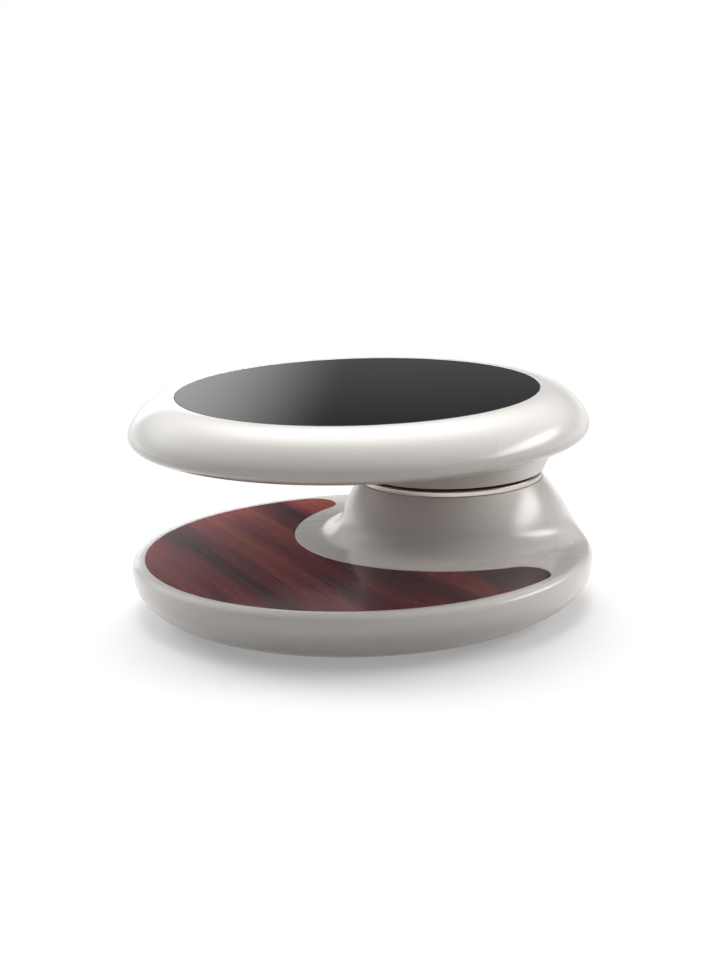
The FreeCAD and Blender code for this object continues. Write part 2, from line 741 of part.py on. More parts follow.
# Lower shell of the top with the hollow neck
def make_under_shell():
    flat_radius = "top_radius - underside_inset"
    flat_handle = "underside_inset * 0.73"
    belly_handle = "(joint_level - underside) * 0.8"
    form = turned("under_form", [
        ("0", "underside"),
        (flat_radius, "underside"),
        [
            (f"{flat_radius} + {flat_handle}", "underside"),
            ("top_radius", f"joint_level - {belly_handle}"),
            ("top_radius", "joint_level"),
        ],
        ("0", "joint_level"),
    ])
    rise = "(joint_level - neck_bottom) * 0.93"
    edge = "neck_radius + shoulder_overlap"
    rim = "top_radius - shoulder_overlap"
    side = outer_side("neck_side", edge, rim, "neck_bottom", rise, "column_bulge / 2")
    outer = cut("under_outer", joined("under_mass", [form, side]), underside_space())
    floor = "underside + wall"
    floor_edge = f"{flat_radius} + wall * 2"
    floor_handle = "underside_inset * 0.53"
    flange_bottom = "joint_level - wall"
    inner_radius = "top_radius - wall"
    inner_handle = "(joint_level - underside) * 0.36"
    hollow = turned("under_hollow", [
        ("0", floor),
        (floor_edge, floor),
        [
            (f"{floor_edge} + {floor_handle}", floor),
            (inner_radius, f"{flange_bottom} - {inner_handle}"),
            (inner_radius, flange_bottom),
        ],
        ("top_radius - joint_flange", flange_bottom),
        ("top_radius - joint_flange", "joint_level"),
        ("0", "joint_level"),
    ])
    funnel = cone(
        "neck_hollow",
        "neck_radius - collar_thickness",
        "axis_inset - top_inset - column_room",
        f"{floor} + wall - hub_bottom",
        AXIS,
        "hub_bottom",
    )
    head_seat = "neck_bottom + screw_head_height"
    keep(cut(
        "top_under_shell",
        outer,
        joined("under_inside", [hollow, funnel]),
        cylinder("neck_mouth", "collar_radius", "collar_thickness", AXIS, "0", "neck_bottom"),
        upright("under_joint_holes", joint_spots, SCREW_HOLE, flange_bottom, "joint_level"),
        upright("neck_collar_holes", collar_spots, SCREW_HOLE, "neck_bottom", "hub_bottom"),
        upright("neck_head_holes", collar_spots, HEAD_HOLE, "neck_bottom", head_seat),
    ))
    screws("rim_joint_screws", joint_spots, flange_bottom, "joint_level + wall", True)


# Upper shell of the top: the rim round the glass with a ledge under it
def make_bezel():
    rim_handle = "top_rim_width * 0.7"
    belly_handle = "top_belly_drop * 0.18"
    flange_top = "joint_level + wall"
    inner_radius = "top_radius - wall * 1.3"
    inner_handle = f"(panel_top - ({flange_top})) * 0.22"
    shoulder = "glass_opening + wall * 3"
    shoulder_handle = "top_rim_width * 0.46"
    blank = turned("bezel_blank", [
        ("glass_opening", "table_height"),
        [
            (f"glass_opening + {rim_handle}", "table_height"),
            ("top_radius", f"joint_level + {belly_handle}"),
            ("top_radius", "joint_level"),
        ],
        ("top_radius - joint_flange", "joint_level"),
        ("top_radius - joint_flange", flange_top),
        (inner_radius, flange_top),
        [
            (inner_radius, f"{flange_top} + {inner_handle}"),
            (f"{shoulder} + {shoulder_handle}", "panel_top"),
            (shoulder, "panel_top"),
        ],
        ("ledge_bore", "panel_top"),
        ("ledge_bore", "ledge_top"),
        ("glass_opening", "ledge_top"),
    ])
    head_seat = "ledge_top - screw_head_height"
    keep(cut(
        "top_bezel",
        blank,
        upright("bezel_joint_holes", joint_spots, SCREW_HOLE, "joint_level", flange_top),
        upright("bezel_holes", bezel_spots, SCREW_HOLE, "panel_top", "ledge_top"),
        upright("bezel_head_holes", bezel_spots, HEAD_HOLE, head_seat, "ledge_top"),
    ))
    screws("bezel_screws", bezel_spots, head_seat, "panel_top - screw_grip", False)


# Black glass on a ring of tape and a circle of soft pads
def make_glass():
    keep(ring("glass_tape", "tape_radius - tape_width", "tape_radius", "ledge_top", "glass_bottom"))
    pad_spots = circle_spots("pad_count", "pad_circle")
    keep(upright("glass_pads", pad_spots, "pad_radius", "panel_top", "glass_bottom"))
    keep(cylinder("glass_top", "glass_opening - glass_gap", "glass_thickness", z="glass_bottom"))


make_underframe()
make_column_post()
make_head_plate()
make_bearing()
make_swivel_rings()
make_base_shell()
make_hub()
make_top_post()
make_under_shell()
make_bezel()
make_glass()

doc.recompute()

faults = [item.Label for item in doc.Objects if {"Invalid", "Error"} & set(item.State)]
faults += [item.Label for item in parts if item.Shape.isNull() or not item.Shape.isValid()]
if faults:
    raise RuntimeError("these pieces failed: " + ", ".join(faults))

os.makedirs("parts", exist_ok=True)
for item in parts:
    item.Shape.exportStep(f"parts/{item.Label}.step")
    print(item.Label, len(item.Shape.Solids), round(item.Shape.Volume))
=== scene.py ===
import bpy
import bmesh
import json
import math
import numpy as np
from mathutils import Matrix, Vector


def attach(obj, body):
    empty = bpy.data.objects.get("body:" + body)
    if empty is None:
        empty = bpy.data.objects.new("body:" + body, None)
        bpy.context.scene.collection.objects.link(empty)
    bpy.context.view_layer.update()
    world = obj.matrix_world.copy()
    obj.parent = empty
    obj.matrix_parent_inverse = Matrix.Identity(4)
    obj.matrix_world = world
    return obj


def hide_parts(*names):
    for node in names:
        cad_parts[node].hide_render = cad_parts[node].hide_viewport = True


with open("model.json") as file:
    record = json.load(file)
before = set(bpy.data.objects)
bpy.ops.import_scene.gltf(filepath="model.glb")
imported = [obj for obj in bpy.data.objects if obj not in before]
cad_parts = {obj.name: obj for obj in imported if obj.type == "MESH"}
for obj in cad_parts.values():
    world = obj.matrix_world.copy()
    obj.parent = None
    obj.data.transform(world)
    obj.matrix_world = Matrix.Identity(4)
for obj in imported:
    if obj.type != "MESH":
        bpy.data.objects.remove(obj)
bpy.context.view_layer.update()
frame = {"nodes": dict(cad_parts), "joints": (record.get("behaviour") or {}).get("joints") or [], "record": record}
nodes = frame["nodes"]
swivelX = frame["joints"][0]["pos_m"][0]
tiny = 1e-9
print("frame loaded:", len(nodes), "nodes, swivel axis at x", swivelX)


# Values or links for a node's inputs, by name or number
def feed(item, inputs):
    for key, value in inputs.items():
        if isinstance(value, Wire):
            value.tree.links.new(value.socket, item.inputs[key])
        else:
            item.inputs[key].default_value = value


# Colours along a ramp, its two ends listed first because a new ramp already has those
def fillRamp(elements, stops):
    for stop in stops[2:]:
        elements.new(stop[0])
    for element, (spot, colour) in zip(elements, sorted(stops)):
        element.position = spot
        element.color = (*colour, 1)


# A socket that can be used in expressions; the same class serves shader trees and geometry trees
class Wire:
    def __init__(self, tree, socket=None):
        self.tree = tree
        self.socket = socket

    # One node: its type, its settings, then what goes into its inputs
    def add(self, kind, settings=None, inputs=None, out=0):
        item = self.tree.nodes.new(kind)
        for key, value in (settings or {}).items():
            if key == "stops":
                fillRamp(item.color_ramp.elements, value)
            else:
                setattr(item, key, value)
        feed(item, inputs or {})
        return Wire(self.tree, item.outputs[out])

    # Another output of the same node
    def other(self, name):
        return Wire(self.tree, self.socket.node.outputs[name])

    def maths(self, operation, *others):
        return self.add("ShaderNodeMath", {"operation": operation}, dict(enumerate((self, *others))))

    def vector(self, operation, *others, out=0):
        inputs = dict(enumerate((self, *others)))
        return self.add("ShaderNodeVectorMath", {"operation": operation}, inputs, out)

    def __add__(self, other):
        return self.maths("ADD", other)

    def __sub__(self, other):
        return self.maths("SUBTRACT", other)

    def __rsub__(self, other):
        return self.add("ShaderNodeMath", {"operation": "SUBTRACT"}, {0: other, 1: self})

    def __mul__(self, other):
        return self.maths("MULTIPLY", other)

    def __truediv__(self, other):
        return self.maths("DIVIDE", other)

    def __mod__(self, other):
        return self.maths("MODULO", other)

    # This value as the factor between two colours
    def blend(self, low, high):
        ends = [end if isinstance(end, Wire) else (*end, 1) for end in (low, high)]
        return self.add("ShaderNodeMix", {"data_type": "RGBA"}, {0: self, 6: ends[0], 7: ends[1]}, out=2)

    # This value stretched from one range to 0 and 1, eased at both ends
    def eased(self, low, high):
        settings = {"interpolation_type": "SMOOTHSTEP"}
        return self.add("ShaderNodeMapRange", settings, {0: self, 1: low, 2: high})

    # Noise at this place
    def cloud(self, scale, detail=2.0, roughness=0.5):
        inputs = {"Vector": self, "Scale": scale, "Detail": detail, "Roughness": roughness}
        return self.add("ShaderNodeTexNoise", {}, inputs)

    # This value as a relief
    def bumped(self, strength, depth):
        return self.add("ShaderNodeBump", {}, {"Height": self, "Strength": strength, "Distance": depth})


# New material with its shader and the place on the piece
def newFinish(name):
    material = bpy.data.materials.new(name)
    material.use_nodes = True
    shader = material.node_tree.nodes["Principled BSDF"]
    place = Wire(material.node_tree).add("ShaderNodeTexCoord", out="Object")
    return material, shader, place


# Warm white high-gloss lacquer with a faint orange peel and slightly uneven depth of colour
lacquerLook = {
    "white": (0.80, 0.785, 0.765),
    "shade": (0.77, 0.752, 0.73),
    "driftScale": 5.0,
    "driftRoughness": 0.08,
    "peelScale": 420.0,
    "peelStrength": 0.03,
    "peelDepth": 0.0006,
    "roughness": 0.22,
    "coat": 1.0,
    "coatRoughness": 0.065,
    "ior": 1.5,
}


def makeLacquer(look):
    material, shader, place = newFinish("whiteLacquer")
    drift = place.cloud(look["driftScale"])
    peel = place.cloud(look["peelScale"], detail=1.0)
    feed(shader, {
        "Base Color": drift.blend(look["white"], look["shade"]),
        "Roughness": drift * look["driftRoughness"] + look["roughness"],
        "Normal": peel.bumped(look["peelStrength"], look["peelDepth"]),
        "Coat Weight": look["coat"],
        "Coat Roughness": look["coatRoughness"],
        "IOR": look["ior"],
    })
    return material


# Dark red-brown wood: broad bands, streaks, fibres and pores that all run along the grain
woodLook = {
    "grainTurn": math.radians(-80),
    "waveScale": (2.4, 5.0, 1.0),
    "waveSize": 0.016,
    "band": {"scale": (0.9, 8.5, 1.0), "detail": 2.0, "roughness": 0.5, "range": (0.34, 0.66)},
    "streak": {"scale": (1.3, 40.0, 1.0), "detail": 3.0, "roughness": 0.6, "range": (0.30, 0.70)},
    "fibre": {"scale": (3.2, 210.0, 1.0), "detail": 2.0, "roughness": 0.6, "range": (0.30, 0.72)},
    "pore": {"scale": (30.0, 1100.0, 1.0), "detail": 2.0, "roughness": 0.6, "range": (0.58, 0.70)},
    "bandShare": 0.70,
    "streakShare": 0.21,
    "fibreShare": 0.09,
    "plum": (0.028, 0.008, 0.014),
    "wine": (0.096, 0.014, 0.021),
    "red": (0.195, 0.030, 0.033),
    "amber": (0.270, 0.066, 0.040),
    "toneSpots": {"plum": 0.13, "amber": 0.94, "wine": 0.37, "red": 0.65},
    "poreShade": 0.5,
    "poreStrength": 0.25,
    "poreDepth": 0.0001,
    "poreRoughness": 0.10,
    "fibreRoughness": 0.05,
    "roughness": 0.14,
    "specular": 0.20,
}


# One layer of the figure: noise drawn out along the grain, its middle range stretched
def grainLayer(grain, look):
    noise = grain.vector("MULTIPLY", look["scale"]).cloud(1.0, look["detail"], look["roughness"])
    return noise.eased(*look["range"])


def makeWood(look):
    material, shader, place = newFinish("darkWood")
    turn = (0, 0, look["grainTurn"])
    grain = place.add("ShaderNodeMapping", {}, {"Vector": place, "Rotation": turn})
    wave = grain.vector("MULTIPLY", look["waveScale"]).cloud(1.0, detail=1.0) - 0.5
    sway = place.add("ShaderNodeCombineXYZ", {}, {1: wave * look["waveSize"]})
    bent = grain.vector("ADD", sway)
    band, streak, fibre = (grainLayer(bent, look[name]) for name in ("band", "streak", "fibre"))
    pore = grainLayer(grain, look["pore"])
    figure = band * look["bandShare"] + streak * look["streakShare"] + fibre * look["fibreShare"]
    stops = [(spot, look[name]) for name, spot in look["toneSpots"].items()]
    tone = place.add("ShaderNodeValToRGB", {"stops": stops}, {"Fac": figure})
    feed(shader, {
        "Base Color": (pore * look["poreShade"]).blend(tone, look["plum"]),
        "Roughness": pore * look["poreRoughness"] + fibre * look["fibreRoughness"] + look["roughness"],
        "Normal": (1 - pore).bumped(look["poreStrength"], look["poreDepth"]),
        "Specular IOR Level": look["specular"],
    })
    return material


# Black glass: polished, with the faintest wiped film
glassLook = {
    "black": (0.004, 0.004, 0.0045),
    "film": (0.007, 0.007, 0.008),
    "filmScale": 9.0,
    "filmRange": (0.4, 0.8),
    "filmRoughness": 0.02,
    "roughness": 0.012,
    "ior": 1.5,
}


def makeGlass(look):
    material, shader, place = newFinish("blackGlass")
    film = place.cloud(look["filmScale"], detail=4.0, roughness=0.6)
    feed(shader, {
        "Base Color": film.blend(look["black"], look["film"]),
        "Roughness": film.eased(*look["filmRange"]) * look["filmRoughness"] + look["roughness"],
        "IOR": look["ior"],
    })
    return material


# Polished champagne metal with fine turning marks round the ring
ringLook = {
    "metal": (0.83, 0.77, 0.69),
    "warm": (0.74, 0.67, 0.58),
    "markScale": (3.0, 3.0, 1400.0),
    "markStrength": 0.008,
    "markDepth": 0.0002,
    "markRoughness": 0.14,
    "roughness": 0.11,
}


def makeRingMetal(look):
    material, shader, place = newFinish("polishedRing")
    marks = place.vector("MULTIPLY", look["markScale"]).cloud(1.0, detail=3.0)
    feed(shader, {
        "Base Color": marks.blend(look["metal"], look["warm"]),
        "Metallic": 1.0,
        "Roughness": marks * look["markRoughness"] + look["roughness"],
        "Normal": marks.bumped(look["markStrength"], look["markDepth"]),
    })
    return material


# Finishes of the pieces inside and below: two tones, roughness, grain, and metal or not
plainLooks = {
    "black_plastic": {
        "low": (0.010, 0.010, 0.011), "high": (0.020, 0.020, 0.021),
        "rough": 0.38, "grain": 500.0, "metal": 0.0,
    },
    "grey_nylon": {
        "low": (0.20, 0.20, 0.20), "high": (0.27, 0.27, 0.265),
        "rough": 0.48, "grain": 350.0, "metal": 0.0,
    },
    "black_board": {
        "low": (0.028, 0.027, 0.026), "high": (0.048, 0.046, 0.044),
        "rough": 0.62, "grain": 240.0, "metal": 0.0,
    },
    "raw_board": {
        "low": (0.42, 0.30, 0.18), "high": (0.56, 0.42, 0.27),
        "rough": 0.72, "grain": 300.0, "metal": 0.0,
    },
    "black_steel": {
        "low": (0.030, 0.030, 0.033), "high": (0.052, 0.052, 0.056),
        "rough": 0.45, "grain": 700.0, "metal": 0.0,
    },
    "bright_steel": {
        "low": (0.50, 0.50, 0.51), "high": (0.62, 0.62, 0.63),
        "rough": 0.26, "grain": 420.0, "metal": 1.0,
    },
    "bronze": {
        "low": (0.45, 0.29, 0.11), "high": (0.60, 0.40, 0.17),
        "rough": 0.33, "grain": 380.0, "metal": 1.0,
    },
    "soft_silicone": {
        "low": (0.020, 0.020, 0.020), "high": (0.034, 0.034, 0.034),
        "rough": 0.58, "grain": 600.0, "metal": 0.0,
    },
}
plainShared = {"driftScale": 14.0, "roughSpread": 0.16, "strength": 0.12, "depth": 0.0003}


def makePlain(name, look, shared):
    material, shader, place = newFinish(name)
    drift = place.cloud(shared["driftScale"], detail=3.0)
    grain = place.cloud(look["grain"])
    feed(shader, {
        "Base Color": (drift * 0.5 + grain * 0.5).blend(look["low"], look["high"]),
        "Roughness": (grain - 0.5) * shared["roughSpread"] + look["rough"],
        "Metallic": look["metal"],
        "Normal": grain.bumped(shared["strength"], shared["depth"]),
    })
    return material


finishes = {slot: makePlain(slot, look, plainShared) for slot, look in plainLooks.items()}
finishes["white_lacquer"] = makeLacquer(lacquerLook)
finishes["dark_wood"] = makeWood(woodLook)
finishes["black_glass"] = makeGlass(glassLook)
finishes["polished_ring"] = makeRingMetal(ringLook)
for part in frame["record"]["subparts"]:
    for place in nodes[part["node"]].material_slots:
        place.material = finishes[part["material_slot"]]
print("finishes made:", len(finishes))


# Shared mesh steps; the handle is the share of a corner's rounding that makes it nearly circular
roundHandle = 0.55


def bezier(a, b, c, d, count):
    t = np.linspace(0, 1, count)[:, None]
    a, b, c, d = (np.array(p, float) for p in (a, b, c, d))
    return (1 - t) ** 3 * a + 3 * (1 - t) ** 2 * t * b + 3 * (1 - t) * t ** 2 * c + t ** 3 * d


def unit(step):
    return step / np.linalg.norm(step)


def newObject(name, data):
    item = bpy.data.objects.new(name, data)
    bpy.context.scene.collection.objects.link(item)
    return item


def outward(mesh, sharpAngle):
    work = bmesh.new()
    work.from_mesh(mesh)
    bmesh.ops.recalc_face_normals(work, faces=work.faces)
    work.to_mesh(mesh)
    work.free()
    mesh.shade_smooth()
    mesh.set_sharp_from_angle(angle=math.radians(sharpAngle))
    return mesh


def addPiece(name, mesh, body, slot, *replaced):
    mesh.materials.clear()
    mesh.materials.append(finishes[slot])
    piece = newObject(name, mesh)
    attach(piece, body)
    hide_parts(*replaced)
    print("piece", name, len(mesh.polygons), "faces")


# The carrier's mesh after its modifiers; the carrier goes
def evaluated(carrier):
    bpy.context.view_layer.update()
    graph = bpy.context.evaluated_depsgraph_get()
    mesh = bpy.data.meshes.new_from_object(carrier.evaluated_get(graph))
    carrier.modifiers.clear()
    bpy.data.objects.remove(carrier)
    return mesh


# Rows of points joined into a closed tube of quads, round both ways
def closedGrid(name, points):
    columns, rows = points.shape[:2]
    index = np.arange(columns * rows).reshape(columns, rows)
    right = np.roll(index, -1, axis=0)
    quads = np.stack([index, right, np.roll(right, -1, axis=1), np.roll(index, -1, axis=1)], axis=-1)
    mesh = bpy.data.meshes.new(name)
    mesh.from_pydata(points.reshape(-1, 3).tolist(), [], quads.reshape(-1, 4).tolist())
    return mesh


# The two lacquered shells flow from the ring at the swivel out to a round rim.
# Each direction round the swivel axis has one profile, and neighbouring profiles blend into each other.
shellLook = {
    "columns": 432,
    "wallRows": 116,
    "rimRows": 62,
    "fine": 1600,
    "arcPoints": 60,
    "flatPoints": 300,
    "flatReach": 0.45,
    "edgeBlend": 0.016,
    "edgeShare": 0.5,
    "profileBlend": 0.0035,
    "turnBlend": math.radians(2.2),
    "bendWeight": 0.035,
    "bendReach": 0.02,
    "bendShare": 0.1,
    "bellReach": 3,
    "sharp": 35,
}


# From the swivel axis to a level circle that stands off along X
def reach(turn, offset, radius):
    return offset * np.cos(turn) + np.sqrt(np.maximum(radius ** 2 - (offset * np.sin(turn)) ** 2, tiny))


def softLower(a, b, width):
    share = np.clip(0.5 + 0.5 * (b - a) / width, 0, 1)
    return b * (1 - share) + a * share - width * share * (1 - share)


# Columns of values smoothed by a bell; both ends stay where they are
def blurred(values, spread):
    count = max(int(math.ceil(shellLook["bellReach"] * spread)), 1)
    steps = np.arange(-count, count + 1)
    bell = np.exp(-0.5 * (steps / max(spread, tiny)) ** 2)
    bell /= bell.sum()
    start = 2 * values[0] - values[count:0:-1]
    end = 2 * values[-1] - values[-2:-count - 2:-1]
    padded = np.concatenate([start, values, end])
    return np.stack([np.convolve(padded[:, i], bell, "valid") for i in range(values.shape[1])], axis=1)


# Wall from the ring down to a flat with a hollow at its foot, as rows of radius, offset and height
def hollowWall(radii, offsets, levels, hollow, look):
    line = np.stack([radii, levels], axis=1)
    bend = math.acos(float(unit(line[-1] - line[-2])[0]))
    tangent = hollow * math.tan(bend / 2)
    handle = 4 / 3 * math.tan(bend / 4) * hollow
    kept = np.linalg.norm(line - line[-1], axis=1) > tangent
    before, first = line[kept][-2:]
    last = line[-1] + np.array([tangent, 0])
    leaving = first + unit(first - before) * handle
    arc = bezier(first, leaving, last - np.array([handle, 0]), last, look["arcPoints"])[1:]
    shift = np.linspace(offsets[kept][-1], offsets[-1], len(arc))
    flat = np.linspace(last[0], last[0] + look["flatReach"], look["flatPoints"])[1:]
    return np.concatenate([
        np.stack([radii, offsets, levels], axis=1)[kept],
        np.stack([arc[:, 0], shift, arc[:, 1]], axis=1),
        np.stack([flat, 0 * flat + offsets[-1], 0 * flat + last[1]], axis=1),
    ])


# Outer profile in one direction, in two lines.
# The first is the wall or the outer side up to where it meets the rim, and the second is the rim.
def flowProfile(turn, wall, side, rim, look):
    inner = reach(turn, wall[:, 1], wall[:, 0])
    depth = np.abs(wall[:, 2] - wall[0, 2])
    blend = np.minimum(look["edgeBlend"], depth * look["edgeShare"]) + tiny
    level = softLower(inner, side(turn, wall[:, 2]), blend)
    outer = reach(turn, -swivelX, rim[:, 0])
    beside = np.minimum(side(turn, rim[:, 1]), outer.max())
    lead = beside - outer
    first = int(np.argmin(lead > 0))
    rimLine = np.stack([outer, rim[:, 1]], axis=1)
    meet = rimLine[first]
    if first > 0:
        share = lead[first - 1] / (lead[first - 1] - lead[first])
        meet = rimLine[first - 1] * (1 - share) + rimLine[first] * share
    wallLine = np.stack([level, wall[:, 2]], axis=1)
    sideLine = np.stack([beside, rim[:, 1]], axis=1)[:first]
    return np.concatenate([wallLine, sideLine, [meet]]), np.concatenate([[meet], rimLine[first:]])


# Points of a path where its running measure has the wanted values
def pointsAt(spots, run, path):
    return np.stack([np.interp(spots, run, path[:, i]) for i in (0, 1)], axis=1)


def evenly(path, count):
    length = np.concatenate([[0], np.cumsum(np.linalg.norm(np.diff(path, axis=0), axis=1))])
    keep = np.concatenate([[True], np.diff(length) > tiny])
    spots = np.linspace(0, length[-1], count)
    return pointsAt(spots, length[keep], path[keep]), length[-1]


# A line softened and cut into rows that lie closer where it bends
def rowsAlong(line, count, blend, look):
    path, length = evenly(line, look["fine"])
    path = blurred(path, blend / length * look["fine"])
    slope = np.unwrap(np.arctan2(*np.gradient(path, axis=0).T[::-1]))
    bend = np.abs(np.gradient(slope))[:, None]
    spread = min(look["bendReach"] / length, look["bendShare"]) * look["fine"]
    weight = length / look["fine"] + look["bendWeight"] * blurred(bend, spread)[:, 0]
    run = np.cumsum(np.maximum(weight, tiny))
    return pointsAt(np.linspace(run[0], run[-1], count), run, path)


# The whole shell; its inside is closed by circles about the table's centre, then by circles about the axis
def flowingShell(name, wall, side, rim, aboutCentre, aboutAxis, look):
    turns = np.linspace(0, 2 * math.pi, look["columns"], endpoint=False)
    columns = []
    for turn in turns:
        wallLine, rimLine = flowProfile(turn, wall, side, rim, look)
        wallPart = rowsAlong(wallLine, look["wallRows"], look["profileBlend"], look)
        rimPart = rowsAlong(rimLine, look["rimRows"], 0.0, look)
        columns.append(np.concatenate([wallPart, rimPart[1:]]))
    grid = np.array(columns)
    spread = look["turnBlend"] / (turns[1] - turns[0])
    wrap = int(math.ceil((look["bellReach"] + 1) * spread))
    for row in range(grid.shape[1]):
        around = np.concatenate([grid[-wrap:, row], grid[:, row], grid[:wrap, row]])
        grid[:, row] = blurred(around, spread)[wrap:-wrap]
    grid[:, :, 0] = np.minimum(grid[:, :, 0], reach(turns, -swivelX, rim[:, 0].max())[:, None])
    circles = [(reach(turns, -swivelX, radius), height) for radius, height in aboutCentre]
    circles += [(0 * turns + radius, height) for radius, height in aboutAxis]
    closing = np.stack([np.stack([away, 0 * turns + height], axis=1) for away, height in circles], axis=1)
    grid = np.concatenate([grid, closing], axis=1)
    x = swivelX + grid[:, :, 0] * np.cos(turns)[:, None]
    y = grid[:, :, 0] * np.sin(turns)[:, None]
    return closedGrid(name, np.stack([x, y, grid[:, :, 1]], axis=-1))


# Base: round tray and a column with a hollow foot
baseLook = {
    "radius": 0.400,
    "shelf": 0.099,
    "belly": 0.075,
    "bottom": 0.005,
    "stance": 0.298,
    "rimRound": 0.014,
    "bellyHandle": 0.47,
    "stanceHandle": 0.62,
    "columnTop": 0.1945,
    "columnRadius": 0.165,
    "columnFlare": 0.049,
    "columnLean": 0.013,
    "columnSwell": 0.5,
    "sideBulge": 0.012,
    "sideSetback": 0.0004,
    "shoulder": 0.167,
    "hollow": 0.045,
    "wallPoints": 160,
    "edgePoints": 60,
    "bellyPoints": 120,
    "insideTray": [(0.292, 0.005), (0.292, 0.019), (0.282, 0.019), (0.282, 0.024)],
    "insideColumn": [(0.186, 0.080), (0.158, 0.1880), (0.140, 0.1885), (0.140, 0.1945), (0.1635, 0.1945)],
}


def makeBase(look):
    radius, shelf, belly = look["radius"], look["shelf"], look["belly"]
    bottom, stance, top = look["bottom"], look["stance"], look["columnTop"]
    f = np.linspace(0, 1, look["wallPoints"])
    spread = look["columnRadius"] + look["columnFlare"] * f * (1 + look["columnSwell"] * (1 - f))
    wall = hollowWall(spread, look["columnLean"] * f, top - (top - shelf) * f, look["hollow"], shellLook)
    foot = shelf - look["rimRound"]

    # Outer side of the column, which runs out into the rim
    def side(turn, level):
        t = np.clip((top - level) / (top - foot), 0, 1)
        swell = look["sideBulge"] * np.sin(math.pi * t)
        circle = look["shoulder"] * (1 - t) + (radius - look["sideSetback"]) * t + swell
        return np.where(level < foot - tiny, 0.0, reach(turn, -swivelX * t, circle))

    flat = radius - look["rimRound"]
    edge = look["rimRound"] * roundHandle
    under = belly - (belly - bottom) * look["bellyHandle"]
    tuck = stance + (radius - stance) * look["stanceHandle"]
    start, end = (flat, shelf), (radius, foot)
    rim = np.concatenate([
        bezier(start, (flat + edge, shelf), (radius, foot + edge), end, look["edgePoints"]),
        bezier((radius, belly), (radius, under), (tuck, bottom), (stance, bottom), look["bellyPoints"]),
    ])
    return flowingShell("baseShell", wall, side, rim, look["insideTray"], look["insideColumn"], shellLook)


# Crescent of wood let into the shelf, its outline set in by a gap, and the recess for it
woodPiece = {
    "outer": 0.3775,
    "bite": 0.283,
    "horn": 0.046,
    "outerPoints": 260,
    "bitePoints": 200,
    "hornPoints": 40,
    "gap": 0.0004,
    "floor": 0.093,
    "top": 0.099,
    "arris": 0.0006,
    "arrisRound": 0.3,
    "sharp": 18,
    "shellChamfer": 0.0008,
    "cutterFlare": 1.6,
    "cutterRise": 0.004,
    "cutterSharp": 30,
}


# The crescent's outline, smaller all round by the gap
def crescent(look, gap):
    outer = look["outer"] - gap
    bite = look["bite"] + gap
    horn = look["horn"] - gap
    x = ((outer - horn) ** 2 - (bite + horn) ** 2 + swivelX ** 2) / (2 * swivelX)
    y = math.sqrt((outer - horn) ** 2 - x ** 2)
    edge = math.atan2(y, x)
    inner = math.atan2(y, x - swivelX)
    arcs = [
        (0.0, 0.0, outer, np.linspace(edge, 2 * math.pi - edge, look["outerPoints"])),
        (x, -y, horn, np.linspace(-edge, math.pi - inner, look["hornPoints"])[1:-1]),
        (swivelX, 0.0, bite, np.linspace(2 * math.pi - inner, inner, look["bitePoints"])),
        (x, y, horn, np.linspace(inner - math.pi, edge, look["hornPoints"])[1:-1]),
    ]
    runs = [(cx + r * np.cos(turn), cy + r * np.sin(turn)) for cx, cy, r, turn in arcs]
    return np.concatenate([np.stack(run, axis=1) for run in runs])


# Crescents at several heights, from rows of gap and height, walled and capped
def stackedCrescents(name, look, rows):
    loops = [(crescent(look, gap), z) for gap, z in rows]
    mesh = bpy.data.meshes.new(name)
    count = len(loops[0][0])
    points = [(x, y, z) for outline, z in loops for x, y in outline]
    faces = [list(range(count))[::-1], list(range((len(loops) - 1) * count, len(loops) * count))]
    for k in range(len(loops) - 1):
        for i in range(count):
            j = (i + 1) % count
            faces.append([k * count + i, k * count + j, (k + 1) * count + j, (k + 1) * count + i])
    mesh.from_pydata(points, [], faces)
    return mesh


def makeWoodPanel(look):
    gap, arris, top = look["gap"], look["arris"], look["top"]
    half = arris * look["arrisRound"]
    rows = [(gap, look["floor"]), (gap, top - arris), (gap + half, top - half), (gap + arris, top)]
    return stackedCrescents("woodPanel", look, rows)


def recessed(shell, look):
    chamfer, top = look["shellChamfer"], look["top"]
    flare = -chamfer * look["cutterFlare"]
    rows = [
        (0, look["floor"]),
        (0, top - chamfer),
        (-chamfer, top),
        (flare, top + chamfer),
        (flare, top + look["cutterRise"]),
    ]
    block = outward(stackedCrescents("recessCutter", look, rows), look["cutterSharp"])
    cutter = newObject("recessCutter", block)
    carrier = newObject("baseCarrier", shell)
    cut = carrier.modifiers.new("recess", "BOOLEAN")
    cut.operation = "DIFFERENCE"
    cut.solver = "MANIFOLD"
    cut.object = cutter
    mesh = evaluated(carrier)
    bpy.data.objects.remove(cutter)
    return mesh


baseMesh = recessed(outward(makeBase(baseLook), shellLook["sharp"]), woodPiece)
addPiece("baseShell", outward(baseMesh, shellLook["sharp"]), "base", "white_lacquer", "base_shell")
woodMesh = outward(makeWoodPanel(woodPiece), woodPiece["sharp"])
addPiece("woodPanel", woodMesh, "base", "dark_wood", "shelf_panel")


# Lower shell of the top: neck, flat underside and rounded rim up to the joint line
topLook = {
    "radius": 0.395,
    "underside": 0.295,
    "joint": 0.320,
    "flat": 0.310,
    "flatHandle": 0.73,
    "jointHandle": 0.8,
    "neckBottom": 0.2113,
    "neckRadius": 0.167,
    "neckFlare": 0.041,
    "neckStep": 0.002,
    "neckBulge": 0.0045,
    "neckRim": 0.393,
    "neckReach": 0.93,
    "hollow": 0.030,
    "ledgeBlend": 0.007,
    "wallPoints": 120,
    "rimPoints": 140,
    "insideDisc": [(0.375, 0.320), (0.375, 0.314), (0.325, 0.3005)],
    "insideNeck": [(0.183, 0.3005), (0.161, 0.2176), (0.140, 0.2173), (0.140, 0.2113), (0.165, 0.2113)],
}


